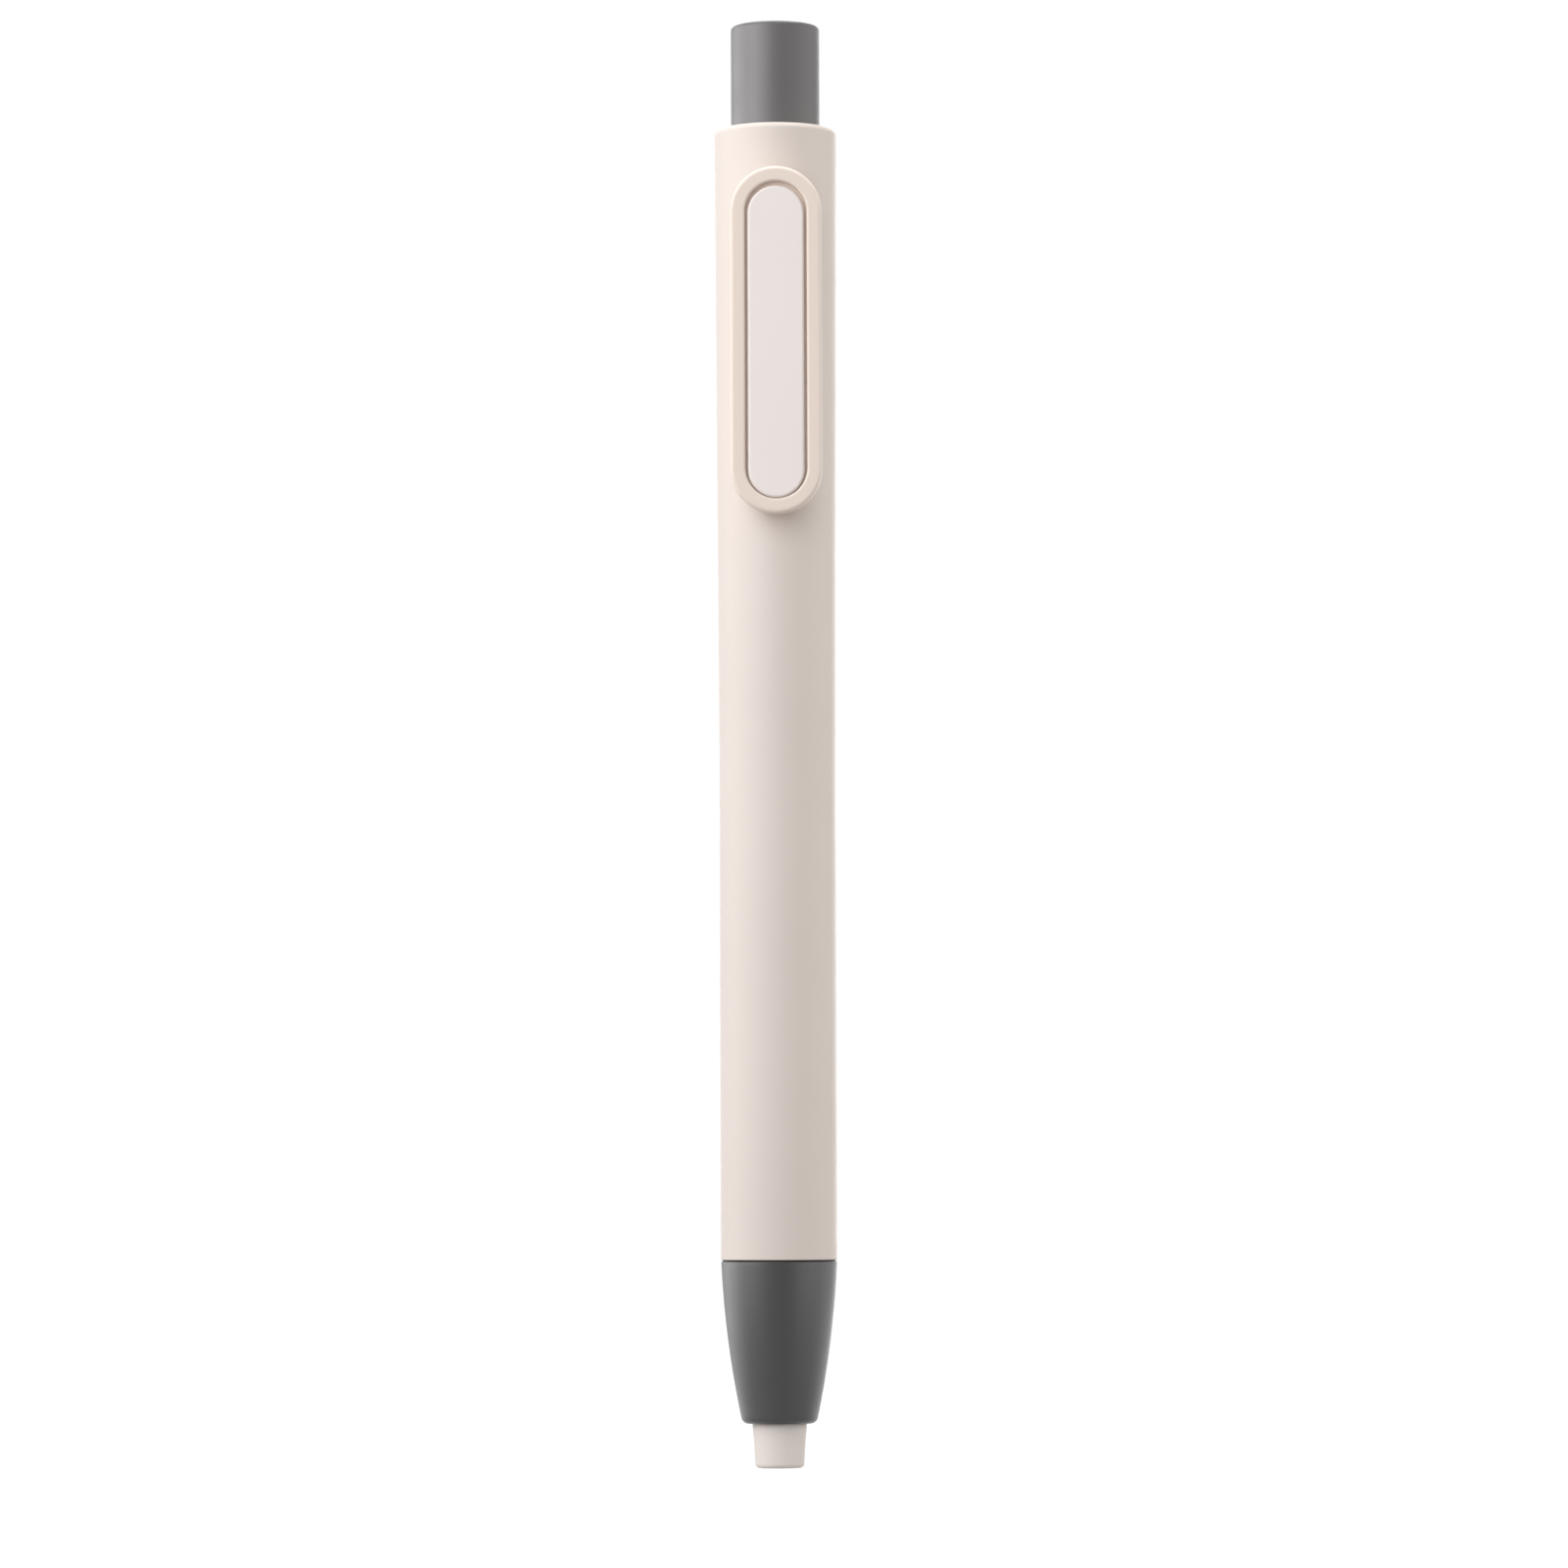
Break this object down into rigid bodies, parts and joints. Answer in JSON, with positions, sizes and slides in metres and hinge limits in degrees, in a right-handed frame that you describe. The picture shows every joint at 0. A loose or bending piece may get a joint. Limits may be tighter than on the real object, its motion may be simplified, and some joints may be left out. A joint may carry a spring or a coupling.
{
  "type": "click eraser stick",
  "caption": "Round pen-shaped click eraser with a tapered nose, an oval pocket clip, a push button and a collet clutch that feeds a thin eraser stick.",
  "frame": {"origin": "centre of the eraser's flat tip face at rest, on the barrel's axis", "axes": "+Z along the barrel's axis, from the eraser's tip to the push button; the clip faces -Y; +X is to the right seen from the clip's side"},
  "size_m": [0.0122, 0.015, 0.145],
  "materials": {
    "barrel_plastic": "fine matte, warm ivory",
    "clip_plastic": "satin, slightly darker beige",
    "plate_plastic": "smooth satin, pale",
    "charcoal_plastic": "satin, warm dark grey",
    "eraser": "soft matte vinyl, off-white",
    "black_rubber": "matte",
    "natural_plastic": "uncoloured, slightly milky",
    "brass": "turned",
    "spring_steel": "drawn wire"
  },
  "bodies": {
    "barrel": {"barrel": "barrel_plastic", "nose_cone": "charcoal_plastic", "friction_ring": "black_rubber", "spring_sleeve": "natural_plastic", "return_spring": "spring_steel"},
    "button": {"push_button": "charcoal_plastic", "feed_tube": "natural_plastic", "tube_coupler": "natural_plastic", "collet": "natural_plastic"},
    "clutch_ring": {"clutch_ring": "brass"},
    "eraser": {"eraser_stick": "eraser"},
    "clip": {"clip_frame": "clip_plastic", "clip_plate": "plate_plastic"}
  },
  "joints": [
    {"name": "button_press", "type": "slide", "parent": "barrel", "child": "button", "axis": [0, 0, -1], "range_m": [0, 0.0045], "stiffness_N_per_m": 600, "springref_m": -0.0007, "deforming": ["return_spring"]},
    {"name": "ring_shift", "type": "slide", "parent": "barrel", "child": "clutch_ring", "axis": [0, 0, -1], "range_m": [0, 0.002]},
    {"name": "eraser_feed", "type": "slide", "parent": "clutch_ring", "child": "eraser", "axis": [0, 0, -1], "range_m": [-0.0044, 0.06]},
    {"name": "clip_flex", "type": "hinge", "parent": "barrel", "child": "clip", "pos_m": [0, -0.0053, 0.1266], "axis": [-1, 0, 0], "range_deg": [0, 4], "stiffness_Nm_per_rad": 2.5, "springref_deg": -0.11}
  ],
  "couplings": [
    {"joint": "ring_shift", "follows": "button_press", "ratio": 0.444}
  ]
}
